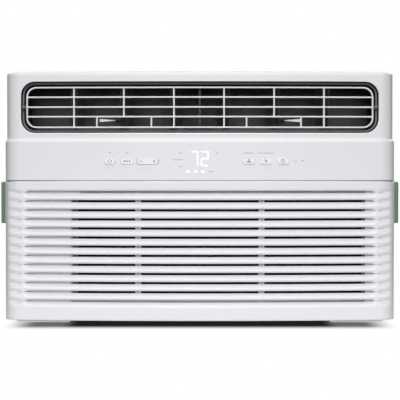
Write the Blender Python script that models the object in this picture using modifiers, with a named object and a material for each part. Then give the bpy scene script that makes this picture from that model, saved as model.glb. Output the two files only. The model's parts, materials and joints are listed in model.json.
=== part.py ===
"""Window air conditioner: front panel, louvre, intake grille, cabinet and everything inside.

X runs to the right seen from the front, the front faces -Y and Z is up. Metres throughout.
The origin is in the middle of the footprint, at the height the feet stand on.
"""

import math

import bmesh
import bpy
from mathutils import Matrix, Vector

# ---------------------------------------------------------------- driving dimensions
GAP = 0.0003                      # between pieces that touch
FRONT_Y = -0.215                  # middle of the bowed front
BACK_Y = 0.2152                   # back of the rear grille
BOW_RADIUS = 1.8                  # plan radius of the bowed front
CORNER_RADIUS = 0.0225            # plan radius of the front's two corners
HALF_LOWER = 0.2432               # half width of the control strip and the intake grille
STEP_IN = 0.0021                  # the upper fascia stands back from the control strip
PANEL_TOP = 0.3118
PANEL_BOTTOM = 0.0029
PANEL_BACK = -0.160               # rear edge of the front panel's skirt
PANEL_WALL = 0.0025
LEDGE_Z = 0.2267                  # step between control strip and upper fascia
SEAM_Z = 0.1766                   # joint between control strip and intake grille
GRILLE_BACK = -0.1830             # rear edge of the intake grille
GRILLE_WALL = 0.0030
SLOT_COUNT = 13
SLOT_TOP_Z = 0.1624
SLOT_PITCH = 0.01124
SLOT_HEIGHT = 0.0030
SLOT_HALF = 0.218
OUTLET_HALF = 0.2222              # air outlet in the upper fascia
OUTLET_LOW = 0.2354
OUTLET_HIGH = 0.2993
OUTLET_RADIUS = 0.017
LOUVER_HALF = 0.2157
LOUVER_LOW = 0.2416
LOUVER_HIGH = 0.2928
LOUVER_RADIUS = 0.0127
LOUVER_LINE = 0.0021
LOUVER_AXIS_Y = -0.196
VANE_PITCH = 0.062
VANE_TILT = math.radians(30)      # vanes rest turned outwards
VANE_PIVOT_Y = -0.172
VANE_FRONT = 0.012
VANE_REAR = 0.018
VANE_LEVER = 0.042
TIE_RADIUS = 0.015                # from a vane's pivot to its tie bar pin
LEVER_Z = 0.250
CABINET_HALF = 0.231
CABINET_FRONT = -0.166
CABINET_BACK = 0.208
CABINET_TOP = 0.302
CABINET_BOTTOM = 0.0058
SHEET = 0.0010
FAN_X = 0.030                     # common axis of blower, motor and condenser fan
FAN_Z = 0.128
SHAFT_RADIUS = 0.006
BLOWER_RADIUS = 0.082
COMPRESSOR_X = -0.152
COMPRESSOR_Y = 0.030
COMPRESSOR_RADIUS = 0.056
ACCUMULATOR_X = -0.068
ACCUMULATOR_Y = 0.035
BULKHEAD_Y = -0.038
GLAND_Y = -0.125
GLAND_Z = 0.050
HANDLE_Y = (-0.152, -0.022)
HANDLE_Z = (0.1219, 0.1743)
HANDLE_OUT = 0.2519
BUTTON_Z = 0.2006
BUTTON_HEIGHT = 0.0080
BUTTON_BACK = -0.2072
BUTTON_PROUD = 0.0012
BUTTONS = {                       # name: (centre X, width)
    "power_button": (-0.1111, 0.0143),
    "mode_button": (-0.0900, 0.0169),
    "temperature_rocker": (-0.0643, 0.0269),
    "fan_button": (0.0605, 0.0159),
    "eco_button": (0.0814, 0.0159),
    "timer_button": (0.1027, 0.0159),
}

# ---------------------------------------------------------------- materials
MATERIALS = {                     # name: (colour, roughness, metallic)
    "white_plastic": ((0.82, 0.82, 0.85), 0.45, 0.0),
    "dark_plastic": ((0.02, 0.02, 0.022), 0.5, 0.0),
    "green_plastic": ((0.13, 0.20, 0.14), 0.55, 0.0),
    "grey_plastic": ((0.35, 0.36, 0.38), 0.55, 0.0),
    "cabinet_paint": ((0.72, 0.73, 0.75), 0.5, 0.2),
    "galvanised": ((0.55, 0.56, 0.58), 0.4, 0.9),
    "fin_aluminium": ((0.75, 0.76, 0.78), 0.35, 0.9),
    "copper": ((0.72, 0.36, 0.20), 0.3, 1.0),
    "black_paint": ((0.02, 0.02, 0.02), 0.45, 0.0),
    "rubber": ((0.03, 0.03, 0.03), 0.8, 0.0),
    "steel": ((0.5, 0.5, 0.52), 0.3, 1.0),
    "filter_net": ((0.10, 0.11, 0.12), 0.8, 0.0),
    "board_green": ((0.03, 0.16, 0.08), 0.5, 0.0),
}


def start_scene():
    for obj in list(bpy.data.objects):
        bpy.data.objects.remove(obj, do_unlink=True)
    made = []
    for name in ("window_air_conditioner", "cutters"):
        collection = bpy.data.collections.new(name)
        bpy.context.scene.collection.children.link(collection)
        made.append(collection)
    return made


PARTS, CUTTERS = start_scene()


def material(name):
    found = bpy.data.materials.get(name)
    if found:
        return found
    colour, roughness, metallic = MATERIALS[name]
    made = bpy.data.materials.new(name)
    made.use_nodes = True
    shader = made.node_tree.nodes["Principled BSDF"]
    shader.inputs["Base Color"].default_value = (*colour, 1)
    shader.inputs["Roughness"].default_value = roughness
    shader.inputs["Metallic"].default_value = metallic
    return made


# ---------------------------------------------------------------- shape helpers
def add_object(name, mesh, finish=None):
    """Links a mesh as a part with a material, or as a cutter when it has none."""
    obj = bpy.data.objects.new(name, mesh)
    if finish:
        PARTS.objects.link(obj)
        mesh.materials.append(material(finish))
    else:
        CUTTERS.objects.link(obj)
        obj.hide_render = True
        obj.display_type = "WIRE"
    return obj


def boxes(name, spans, finish=None):
    """One mesh of separate boxes, each given as ((x, x), (y, y), (z, z))."""
    build = bmesh.new()
    for span in spans:
        centre = Vector([(low + high) / 2 for low, high in span])
        size = [high - low for low, high in span]
        matrix = Matrix.Translation(centre) @ Matrix.Diagonal((*size, 1))
        bmesh.ops.create_cube(build, size=1, matrix=matrix)
    mesh = bpy.data.meshes.new(name)
    build.to_mesh(mesh)
    build.free()
    return add_object(name, mesh, finish)


def box(name, x, y, z, finish=None):
    return boxes(name, [(x, y, z)], finish)


def cylinders(name, rods, finish=None, segments=32):
    """One mesh of separate rods, each given as (start, end, radius)."""
    build = bmesh.new()
    for start, end, radius in rods:
        start, end = Vector(start), Vector(end)
        turn = (end - start).to_track_quat("Z", "Y").to_matrix().to_4x4()
        matrix = Matrix.Translation((start + end) / 2) @ turn
        bmesh.ops.create_cone(build, cap_ends=True, segments=segments, radius1=radius,
                              radius2=radius, depth=(end - start).length, matrix=matrix)
    mesh = bpy.data.meshes.new(name)
    build.to_mesh(mesh)
    build.free()
    shade_round(mesh)
    return add_object(name, mesh, finish)


def shade_round(mesh):
    mesh.shade_smooth()
    mesh.set_sharp_from_angle(angle=math.radians(35))


def curve_mesh(name, curve, matrix):
    """Turns a curve with filled caps into a welded mesh in world place."""
    guide = bpy.data.objects.new(name + "_guide", curve)
    PARTS.objects.link(guide)
    guide.matrix_world = matrix
    bpy.context.view_layer.update()
    graph = bpy.context.evaluated_depsgraph_get()
    mesh = bpy.data.meshes.new_from_object(guide.evaluated_get(graph))
    mesh.transform(matrix)
    bpy.data.objects.remove(guide, do_unlink=True)
    build = bmesh.new()
    build.from_mesh(mesh)
    bmesh.ops.remove_doubles(build, verts=build.verts, dist=0.000001)
    bmesh.ops.recalc_face_normals(build, faces=build.faces)
    build.to_mesh(mesh)
    build.free()
    return mesh


def extrusion(name, outline, low, high, axis="Z", finish=None):
    """A flat outline extruded between two heights. Outline is (x, y) for Z and (x, z) for Y."""
    curve = bpy.data.curves.new(name, "CURVE")
    curve.dimensions = "2D"
    curve.fill_mode = "BOTH"
    curve.extrude = (high - low) / 2
    spline = curve.splines.new("POLY")
    spline.points.add(len(outline) - 1)
    spline.use_cyclic_u = True
    for point, (across, up) in zip(spline.points, outline):
        point.co = (across, up, 0, 1)
    middle = (low + high) / 2
    if axis == "Z":
        matrix = Matrix.Translation((0, 0, middle))
    else:
        matrix = Matrix.Translation((0, middle, 0)) @ Matrix.Rotation(math.pi / 2, 4, "X")
    mesh = curve_mesh(name, curve, matrix)
    return add_object(name, mesh, finish)


def turned(name, profile, place, finish=None, steps=32):
    """A profile of (radius, height) turned about a vertical axis through place."""
    mesh = bpy.data.meshes.new(name)
    mesh.from_pydata([(radius, 0, height) for radius, height in profile],
                     [(index, index + 1) for index in range(len(profile) - 1)], [])
    obj = add_object(name, mesh, finish)
    obj.location = place
    screw = obj.modifiers.new("turn", "SCREW")
    screw.steps = screw.render_steps = steps
    screw.use_merge_vertices = True
    screw.merge_threshold = 0.00005
    screw.use_smooth_shade = True
    return obj


def tube(name, route, radius, finish):
    """A bent pipe with closed ends through a list of corner points, its bends rounded."""
    curve = bpy.data.curves.new(name, "CURVE")
    curve.dimensions = "3D"
    curve.bevel_depth = radius
    curve.bevel_resolution = 2
    curve.use_fill_caps = True
    points = rounded_route([Vector(point) for point in route], radius * 4)
    spline = curve.splines.new("POLY")
    spline.points.add(len(points) - 1)
    for item, point in zip(spline.points, points):
        item.co = (*point, 1)
    mesh = curve_mesh(name, curve, Matrix.Identity(4))
    shade_round(mesh)
    return add_object(name, mesh, finish)


def rounded_route(corners, bend):
    """The corner points with each inner one replaced by a short arc."""
    points = [corners[0]]
    for before, corner, after in zip(corners, corners[1:], corners[2:]):
        into = (before - corner).normalized() * bend
        out = (after - corner).normalized() * bend
        for step in range(5):
            share = step / 4
            points.append(corner + into * (1 - share) ** 2 + out * share ** 2)
    points.append(corners[-1])
    return points


def boolean(target, operation, *others):
    for other in others:
        modifier = target.modifiers.new(other.name, "BOOLEAN")
        modifier.operation = operation
        modifier.object = other
    return target


def cut(target, *others):
    return boolean(target, "DIFFERENCE", *others)


def join(target, *others):
    return boolean(target, "UNION", *others)


def bevel(obj, width, segments=2, angle=40):
    modifier = obj.modifiers.new("edges", "BEVEL")
    modifier.width = width
    modifier.segments = segments
    modifier.limit_method = "ANGLE"
    modifier.angle_limit = math.radians(angle)
    return obj


# ---------------------------------------------------------------- outlines
def bow_y(x, inset=0.0):
    """Y of the bowed front at x, moved back by inset."""
    return FRONT_Y + inset + BOW_RADIUS - math.sqrt(BOW_RADIUS ** 2 - x ** 2)


def front_outline(half, inset, back, bow_steps=12, corner_steps=4):
    """Plan of the bowed front with its rounded corners, closed along a straight back."""
    half -= inset
    radius = CORNER_RADIUS - inset
    start = half - radius
    lean = math.asin(start / BOW_RADIUS)
    centre = (start, bow_y(start, inset) + radius)
    right = []
    for step in range(bow_steps // 2 + 1):
        x = start * step / (bow_steps // 2)
        right.append((x, bow_y(x, inset)))
    last = math.acos(max(0, centre[1] - back) / radius)
    for step in range(1, corner_steps + 1):
        angle = (last - lean) * step / corner_steps + lean
        right.append((centre[0] + radius * math.sin(angle),
                      centre[1] - radius * math.cos(angle)))
    if back > centre[1]:
        right.append((right[-1][0], back))
    left = [(-x, y) for x, y in reversed(right[1:])]
    return left + right


def rounded_rectangle(half, low, high, radius, steps=6, centre=0.0):
    """Outline of a rectangle in the XZ plane with rounded corners."""
    points = []
    corners = ((half - radius, high - radius, 0), (radius - half, high - radius, 90),
               (radius - half, low + radius, 180), (half - radius, low + radius, 270))
    for x, z, first in corners:
        for step in range(steps + 1):
            angle = math.radians(first + 90 * step / steps)
            points.append((centre + x + radius * math.cos(angle), z + radius * math.sin(angle)))
    return points


def pill(centre, width, height, extra=0.0, steps=6):
    half_height = height / 2 + extra
    return rounded_rectangle(width / 2 + extra, BUTTON_Z - half_height,
                             BUTTON_Z + half_height, half_height - 0.00001, steps, centre)


# ---------------------------------------------------------------- front panel and grille
COIL_X = (-0.158, 0.205)
COIL_Z = (0.025, 0.218)
INTAKE_X = (-0.159, 0.209)
INTAKE_Z = (0.026, 0.170)
FRAME_FRONT = -0.1820             # front face of the frame behind the intake grille
FILTER_Y = (-0.1780, -0.1730)
FILTER_Z = (0.0235, 0.1725)


def make_front_panel():
    """Upper fascia, control strip and the frame behind the grille, in one moulding."""
    panel = extrusion("front_panel", front_outline(HALF_LOWER, 0, PANEL_BACK), SEAM_Z, LEDGE_Z,
                      finish="white_plastic")
    fascia = extrusion("fascia_block", front_outline(HALF_LOWER, STEP_IN, PANEL_BACK),
                       LEDGE_Z - 0.001, PANEL_TOP)
    bevel(fascia, 0.0025, 2, 60)
    frame = box("frame_block", (-HALF_LOWER, HALF_LOWER), (FRAME_FRONT, PANEL_BACK),
                (PANEL_BOTTOM, SEAM_Z + 0.001))
    hollow = extrusion("panel_hollow", front_outline(HALF_LOWER, STEP_IN + PANEL_WALL, -0.150),
                       SEAM_Z + PANEL_WALL, PANEL_TOP - PANEL_WALL)
    behind = FRAME_FRONT + PANEL_WALL
    inner = HALF_LOWER - PANEL_WALL
    rear_hollow = box("rear_hollow", (-inner, inner), (behind, -0.150),
                      (PANEL_BOTTOM + PANEL_WALL, SEAM_Z + PANEL_WALL + 0.003))
    intake = box("intake_opening", INTAKE_X, (FRAME_FRONT - 0.005, behind + 0.002), INTAKE_Z)
    slot = box("filter_slot", (HALF_LOWER - 0.006, HALF_LOWER + 0.004),
               (FILTER_Y[0] - 0.0006, FILTER_Y[1] + 0.0006),
               (FILTER_Z[0] - 0.0008, FILTER_Z[1] + 0.0008))
    outlet = extrusion("outlet_opening",
                       rounded_rectangle(OUTLET_HALF, OUTLET_LOW, OUTLET_HIGH, OUTLET_RADIUS),
                       FRONT_Y - 0.01, FRONT_Y + 0.03, "Y")
    join(panel, fascia, frame)
    cut(panel, hollow, rear_hollow, intake, slot, outlet)
    for name, (centre, width) in BUTTONS.items():
        room = 0.00055 if name == "temperature_rocker" else 0.00035
        hole = extrusion(name + "_hole", pill(centre, width, BUTTON_HEIGHT, room),
                         FRONT_Y - 0.005, FRONT_Y + 0.012, "Y")
        cut(panel, hole)


def make_intake_grille():
    """Slatted panel that covers the frame, hinged along its front bottom edge."""
    top = SEAM_Z - 0.0005
    grille = extrusion("intake_grille", front_outline(HALF_LOWER, 0, GRILLE_BACK),
                       PANEL_BOTTOM, top, finish="white_plastic")
    inside = extrusion("grille_hollow", front_outline(HALF_LOWER, GRILLE_WALL, GRILLE_BACK + 0.01),
                       PANEL_BOTTOM + GRILLE_WALL, top - GRILLE_WALL)
    relief = box("grille_top_relief", (-0.25, 0.25), (-0.203, -0.170), (top - 0.0032, top + 0.01))
    slots = []
    for row in range(SLOT_COUNT):
        z = SLOT_TOP_Z - row * SLOT_PITCH
        slots.append(((-SLOT_HALF, SLOT_HALF), (-0.220, -0.185),
                      (z - SLOT_HEIGHT / 2, z + SLOT_HEIGHT / 2)))
    cut(grille, inside, relief, boxes("grille_slots", slots))


def make_filter():
    """Air filter that slides out to the right through the slot in the panel's side."""
    inner_x = (-0.153, 0.203)
    inner_z = (0.0300, 0.1660)
    frame = box("filter_frame", (-0.159, HALF_LOWER - 0.001), FILTER_Y, FILTER_Z, "grey_plastic")
    window = box("filter_window", inner_x, (-0.181, -0.170), inner_z)
    cut(frame, window)
    net = 0.0004
    box("filter_mesh", (inner_x[0] + net, inner_x[1] - net), (-0.1762, -0.1750),
        (inner_z[0] + net, inner_z[1] - net), "filter_net")


def make_buttons():
    for name, (centre, width) in BUTTONS.items():
        front = bow_y(centre) - BUTTON_PROUD
        button = extrusion(name, pill(centre, width, BUTTON_HEIGHT), front, BUTTON_BACK, "Y",
                           "white_plastic")
        bevel(button, 0.0006, 1)


def make_controls():
    """Circuit board behind the control strip, the display on it, and the supply box."""
    box("control_board", (-0.126, 0.126), (-0.2045, -0.2030), (0.1860, 0.2160), "board_green")
    box("display_module", (-0.032, 0.025), (-0.2097, -0.2048), (0.1880, 0.2150), "dark_plastic")
    supply = box("control_box", (-0.213, -0.165), (-0.150, -0.095), (0.030, 0.215), "galvanised")
    cut(supply, box("control_box_room", (-0.2118, -0.1662), (-0.1488, -0.090), (0.0312, 0.2138)))
    cylinders("run_capacitor", [((-0.189, -0.122, 0.0316), (-0.189, -0.122, 0.110), 0.0205)],
              "fin_aluminium", 24)


# ---------------------------------------------------------------- air outlet
DUCT_HALF = 0.2217
DUCT_LOW = 0.2358
DUCT_HIGH = 0.2989
DUCT_WALL = 0.0016
DUCT_BACK = -0.042
SCROLL_HALF = 0.095
SCROLL_Y = (-0.117, -0.040)


def make_air_duct():
    """Black liner from the blower's outlet to the front, with a rib in its middle."""
    duct = box("air_duct", (-DUCT_HALF - DUCT_WALL, DUCT_HALF + DUCT_WALL), (-0.220, DUCT_BACK),
               (DUCT_LOW - DUCT_WALL, DUCT_HIGH + DUCT_WALL), "dark_plastic")
    shape = extrusion("duct_bow", front_outline(HALF_LOWER, STEP_IN + PANEL_WALL + GAP, -0.03),
                      0.22, 0.31)
    boolean(duct, "INTERSECT", shape)
    room = extrusion("duct_room",
                     rounded_rectangle(DUCT_HALF, DUCT_LOW, DUCT_HIGH, OUTLET_RADIUS),
                     -0.225, DUCT_BACK - DUCT_WALL, "Y")
    rib = box("duct_rib", (-0.0010, 0.0010), (-0.188, DUCT_BACK - 0.001),
              (DUCT_LOW - 0.0005, DUCT_HIGH + 0.0005))
    throat = box("duct_throat", (FAN_X - SCROLL_HALF + 0.003, FAN_X + SCROLL_HALF - 0.003),
                 (-0.113, -0.046), (DUCT_LOW - 0.01, DUCT_LOW + 0.01))
    cut(duct, room)
    join(duct, rib)
    cut(duct, throat)


def make_louver():
    """White frame of four rows that tilts about a level axis."""
    ring = extrusion("louver_frame",
                     rounded_rectangle(LOUVER_HALF, LOUVER_LOW, LOUVER_HIGH, LOUVER_RADIUS),
                     -0.216, -0.182, "Y", "white_plastic")
    inner = extrusion("louver_inside",
                      rounded_rectangle(LOUVER_HALF - LOUVER_LINE, LOUVER_LOW + LOUVER_LINE,
                                        LOUVER_HIGH - LOUVER_LINE, LOUVER_RADIUS - LOUVER_LINE),
                      -0.220, -0.178, "Y")
    cut(ring, inner)
    half = LOUVER_LINE / 2
    reach = LOUVER_HALF - half
    depth = (-0.216, -0.182)
    bars = [0.2799, 0.2676, 0.2557]
    for z in bars:
        join(ring, box("louver_bar", (-reach, reach), depth, (z - half, z + half)))
    low, high = LOUVER_LOW + half, LOUVER_HIGH - half
    for side in (-1, 1):
        for x, bottom, top in ((0.031, low, high), (0.093, bars[2], high), (0.155, low, high),
                               (0.0589, low, bars[2]), (0.1265, low, bars[2])):
            centre = side * x
            join(ring, box("louver_post", (centre - 0.0007, centre + 0.0007), depth, (bottom, top)))
    bowed = extrusion("louver_bow", front_outline(HALF_LOWER, 0.004, -0.16), 0.23, 0.30)
    behind = extrusion("louver_back", front_outline(HALF_LOWER, 0.014, -0.15), 0.22, 0.31)
    cut(bowed, behind)
    boolean(ring, "INTERSECT", bowed)
    middle = (LOUVER_LOW + LOUVER_HIGH) / 2
    pins = []
    for side in (-1, 1):
        pins.append(((side * (LOUVER_HALF - 0.001), LOUVER_AXIS_Y, middle),
                     (side * (DUCT_HALF - GAP), LOUVER_AXIS_Y, middle), 0.0022))
    join(ring, cylinders("louver_pins", pins, None, 16))


def vane_place(side, index):
    return Vector((side * (VANE_PITCH * (index + 0.5)), VANE_PIVOT_Y, 0))


def make_vane(side, index):
    """A vertical vane with pivot pins above and below and a pin for its tie bar."""
    name = "vane_{}_{}".format("left" if side < 0 else "right", index + 1)
    low, high = 0.2430, 0.2910
    pivot = vane_place(side, index)
    build = box(name, (-0.0008, 0.0008), (-VANE_FRONT, VANE_REAR), (low, high), "dark_plastic")
    pin = cylinders(name + "_pins",
                    [((0, 0, DUCT_LOW + GAP), (0, 0, DUCT_HIGH - GAP), 0.0018),
                     ((0, TIE_RADIUS, 0.2392), (0, TIE_RADIUS, low + 0.002), 0.0012)], None, 12)
    pieces = [build, pin]
    join(build, pin)
    if index == 1:
        arm = box(name + "_arm", (-0.0012, 0.0012), (-VANE_LEVER, -VANE_FRONT + 0.001),
                  (LEVER_Z - 0.0015, LEVER_Z + 0.0015))
        tab = box(name + "_tab", (-0.0103, 0.0103), (-VANE_LEVER - 0.0012, -VANE_LEVER + 0.0012),
                  (LEVER_Z - 0.0015, LEVER_Z + 0.0015))
        join(build, arm, tab)
        pieces += [arm, tab]
    for piece in pieces:
        piece.location = pivot
        piece.rotation_euler = (0, 0, side * VANE_TILT)


def make_tie_bar(side):
    """Links three vanes through their rear pins, so that they turn together."""
    name = "tie_bar_" + ("left" if side < 0 else "right")
    offset = Vector((-side * math.sin(VANE_TILT), math.cos(VANE_TILT), 0)) * TIE_RADIUS
    places = [vane_place(side, index) + offset for index in range(3)]
    xs = sorted(place.x for place in places)
    y = places[0].y
    bar = box(name, (xs[0] - 0.004, xs[-1] + 0.004), (y - 0.003, y + 0.003), (0.2392, 0.2422),
              "dark_plastic")
    holes = []
    for place in places:
        holes.append(((place.x, y, 0.235), (place.x, y, 0.245), 0.0016))
    cut(bar, cylinders(name + "_holes", holes, None, 12))


# ---------------------------------------------------------------- cabinet
def make_cabinet():
    """Folded steel wrapper: top and two sides, with side vents and handle cut-outs."""
    cabinet = box("cabinet", (-CABINET_HALF, CABINET_HALF), (CABINET_FRONT, CABINET_BACK),
                  (CABINET_BOTTOM, CABINET_TOP), "cabinet_paint")
    bevel(cabinet, 0.0030, 2)
    inner = CABINET_HALF - SHEET
    room = box("cabinet_room", (-inner, inner), (CABINET_FRONT - 0.01, CABINET_BACK + 0.01),
               (CABINET_BOTTOM - 0.01, CABINET_TOP - SHEET))
    grip = box("handle_cutouts", (-0.24, 0.24), (HANDLE_Y[0] + 0.0046, HANDLE_Y[1] - 0.0046),
               (HANDLE_Z[0] + 0.0036, HANDLE_Z[1] - 0.0036))
    vents = []
    for row in range(9):
        z = 0.090 + row * 0.020
        vents.append(((-0.24, 0.24), (0.090, 0.190), (z, z + 0.006)))
    for row in range(5):
        y = 0.095 + row * 0.020
        vents.append(((-0.19, -0.02), (y, y + 0.006), (0.295, 0.310)))
        vents.append(((0.02, 0.19), (y, y + 0.006), (0.295, 0.310)))
    gland = cylinders("gland_hole", [((-0.24, GLAND_Y, GLAND_Z), (-0.22, GLAND_Y, GLAND_Z), 0.0088)],
                      None, 24)
    cut(cabinet, room, grip, boxes("cabinet_vents", vents), gland)


def make_base_pan():
    """Tray that carries everything and collects the condensate."""
    half = CABINET_HALF - SHEET - GAP
    pan = box("base_pan", (-half, half), (-0.158, 0.2075), (0.0032, 0.0240), "galvanised")
    room = box("pan_room", (-half + 0.0012, half - 0.0012), (-0.1568, 0.2063), (0.0044, 0.03))
    drain = cylinders("pan_drain", [((0.150, 0.190, 0.0), (0.150, 0.190, 0.01), 0.0065)], None, 20)
    cut(pan, room, drain)
    cylinders("drain_plug", [((0.150, 0.190, 0.0012), (0.150, 0.190, 0.0060), 0.0062)], "rubber", 20)


def make_rear_grille():
    """Pressed steel guard over the condenser coil."""
    guard = box("rear_grille", (-CABINET_HALF, CABINET_HALF), (CABINET_BACK + GAP, BACK_Y),
                (CABINET_BOTTOM, CABINET_TOP), "cabinet_paint")
    bevel(guard, 0.0020, 1)
    dish = box("guard_dish", (-0.2265, 0.2265), (CABINET_BACK - 0.01, BACK_Y - 0.0015),
               (0.0085, 0.2975))
    slots = []
    for row in range(12):
        z = 0.024 + row * 0.0215
        for low, high in ((-0.215, -0.075), (-0.069, 0.069), (0.075, 0.215)):
            slots.append(((low, high), (0.200, 0.220), (z, z + 0.0140)))
    cut(guard, dish, boxes("guard_slots", slots))


def make_feet():
    for name, side, low, high in (("foot_front_left", -1, -0.1975, -0.1500),
                                  ("foot_front_right", 1, -0.1975, -0.1500),
                                  ("foot_rear_left", -1, 0.1400, 0.1875),
                                  ("foot_rear_right", 1, 0.1400, 0.1875)):
        xs = sorted((side * 0.162, side * 0.228))
        foot = box(name, xs, (low, high), (0.0, 0.0026), "white_plastic")
        bevel(foot, 0.0006, 1)


def make_side_handle(side):
    """Moulded carry handle: a proud block with a finger pocket that is open below."""
    name = "side_handle_" + ("left" if side < 0 else "right")

    def span(low, high):
        return tuple(sorted((side * low, side * high)))

    handle = box(name, span(CABINET_HALF + GAP, HANDLE_OUT), HANDLE_Y, HANDLE_Z, "green_plastic")
    bevel(handle, 0.0014, 2)
    pocket = box(name + "_pocket", span(0.2170, CABINET_HALF + 0.003),
                 (HANDLE_Y[0] + 0.005, HANDLE_Y[1] - 0.005),
                 (HANDLE_Z[0] + 0.004, HANDLE_Z[1] - 0.004))
    join(handle, pocket)
    ends = (HANDLE_Y[0] + 0.009, HANDLE_Y[1] - 0.009)
    grip_room = box(name + "_room", span(CABINET_HALF + 0.0015, HANDLE_OUT - 0.0030), ends,
                    (HANDLE_Z[0] - 0.01, HANDLE_Z[1] - 0.010))
    deep_room = box(name + "_deep_room", span(0.2190, HANDLE_OUT - 0.0030), ends,
                    (HANDLE_Z[0] + 0.006, HANDLE_Z[1] - 0.010))
    cut(handle, grip_room, deep_room)


# ---------------------------------------------------------------- cooling circuit
def make_coils():
    """Finned blocks with end plates; the evaporator stands behind the filter."""
    evaporator = box("evaporator_coil", COIL_X, (-0.160, -0.122), COIL_Z, "fin_aluminium")
    rim = box("evaporator_rim", (COIL_X[0] + 0.002, COIL_X[1] - 0.002), (-0.170, -0.1588),
              (COIL_Z[0] + 0.002, COIL_Z[1] - 0.002))
    cut(evaporator, rim)
    condenser = box("condenser_coil", (-0.222, 0.222), (0.150, 0.2000), (0.012, 0.292),
                    "fin_aluminium")
    face = box("condenser_rim", (-0.220, 0.220), (0.1988, 0.21), (0.014, 0.290))
    cut(condenser, face)
    cylinders("thermistor_probe", [((-0.135, -0.1645, 0.110), (-0.135, -0.1645, 0.140), 0.0030)],
              "copper", 16)


def make_compressor():
    """Welded can on a round base plate that stands on three rubber mounts."""
    radius = COMPRESSOR_RADIUS
    low, high = 0.0183, 0.196
    profile = [(0, high)]
    for step in range(1, 7):
        angle = math.radians(15 * step)
        profile.append((radius * math.sin(angle), high - 0.022 * (1 - math.cos(angle))))
    profile += [(radius, low + 0.003), (0.062, low + 0.003), (0.062, low), (0, low)]
    turned("compressor", profile, (COMPRESSOR_X, COMPRESSOR_Y, 0), "black_paint")
    for index in range(3):
        angle = math.radians(120 * index + 30)
        x = COMPRESSOR_X + 0.050 * math.cos(angle)
        y = COMPRESSOR_Y + 0.050 * math.sin(angle)
        cylinders("compressor_mount_{}".format(index + 1),
                  [((x, y, 0.0047), (x, y, low - GAP), 0.0105)], "rubber", 20)
    tank = [(0, 0.150), (0.014, 0.149), (0.022, 0.141), (0.022, 0.049), (0.014, 0.041), (0, 0.040)]
    turned("accumulator", tank, (ACCUMULATOR_X, ACCUMULATOR_Y, 0), "black_paint", 24)


def make_lines():
    """Copper pipes: coil to accumulator, compressor to condenser, condenser to coil."""
    tube("suction_line", [(-0.120, -0.1215, 0.212), (-0.120, -0.020, 0.212),
                          (ACCUMULATOR_X, 0.010, 0.212), (ACCUMULATOR_X, ACCUMULATOR_Y, 0.212),
                          (ACCUMULATOR_X, ACCUMULATOR_Y, 0.1504)], 0.0048, "copper")
    tube("discharge_line", [(COMPRESSOR_X, COMPRESSOR_Y, 0.1965), (COMPRESSOR_X, COMPRESSOR_Y, 0.228),
                            (-0.205, 0.060, 0.228), (-0.205, 0.1496, 0.228)], 0.0040, "copper")
    tube("liquid_line", [(-0.205, 0.1496, 0.060), (-0.205, 0.0905, 0.060), (-0.078, 0.0905, 0.060),
                         (-0.078, 0.0905, 0.030), (-0.078, -0.085, 0.030), (-0.078, -0.085, 0.060),
                         (-0.078, -0.1216, 0.060)], 0.0030, "copper")


# ---------------------------------------------------------------- air movers
def fan_point(y):
    return (FAN_X, y, FAN_Z)


def make_motor():
    motor = cylinders("fan_motor", [(fan_point(-0.022), fan_point(0.062), 0.042)], "steel", 32)
    bevel(motor, 0.004, 2)
    cut(motor, cylinders("motor_bore", [(fan_point(-0.05), fan_point(0.09), 0.0063)], None, 20))
    bracket = box("motor_bracket", (FAN_X - 0.052, FAN_X + 0.052), (0.018, 0.021),
                  (0.0047, FAN_Z + 0.052), "galvanised")
    base = box("bracket_foot", (FAN_X - 0.052, FAN_X + 0.052), (0.019, 0.064), (0.0047, 0.0072))
    join(bracket, base)
    cut(bracket, cylinders("bracket_hole", [(fan_point(0.0), fan_point(0.04), 0.0423)], None, 32))
    cylinders("motor_shaft", [(fan_point(-0.108), fan_point(0.122), SHAFT_RADIUS)], "steel", 20)


def make_blower():
    """Centrifugal wheel: a back plate and a ring of blades, open at the front."""
    front, back = -0.112, -0.047
    wheel = cylinders("blower_wheel", [(fan_point(front), fan_point(back), BLOWER_RADIUS)],
                      "dark_plastic", 48)
    room = cylinders("wheel_room", [(fan_point(front - 0.01), fan_point(back - 0.003), 0.070)],
                     None, 48)
    hub = cylinders("wheel_hub", [(fan_point(-0.085), fan_point(back - 0.002), 0.016)], None, 20)
    bore = cylinders("wheel_bore", [(fan_point(-0.13), fan_point(0.0), SHAFT_RADIUS + GAP)], None, 20)
    cut(wheel, room)
    join(wheel, hub)
    cut(wheel, bore)
    blade_gaps = 24
    build = bmesh.new()
    for index in range(blade_gaps):
        turn = Matrix.Rotation(2 * math.pi * index / blade_gaps, 4, "Y")
        place = Matrix.Translation(fan_point((front + back) / 2)) @ turn
        matrix = place @ Matrix.Translation((0.076, 0, 0)) @ Matrix.Diagonal((0.026, 0.051, 0.013, 1))
        bmesh.ops.create_cube(build, size=1, matrix=matrix)
    mesh = bpy.data.meshes.new("blade_gaps")
    build.to_mesh(mesh)
    build.free()
    cut(wheel, add_object("blade_gaps", mesh))


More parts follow.
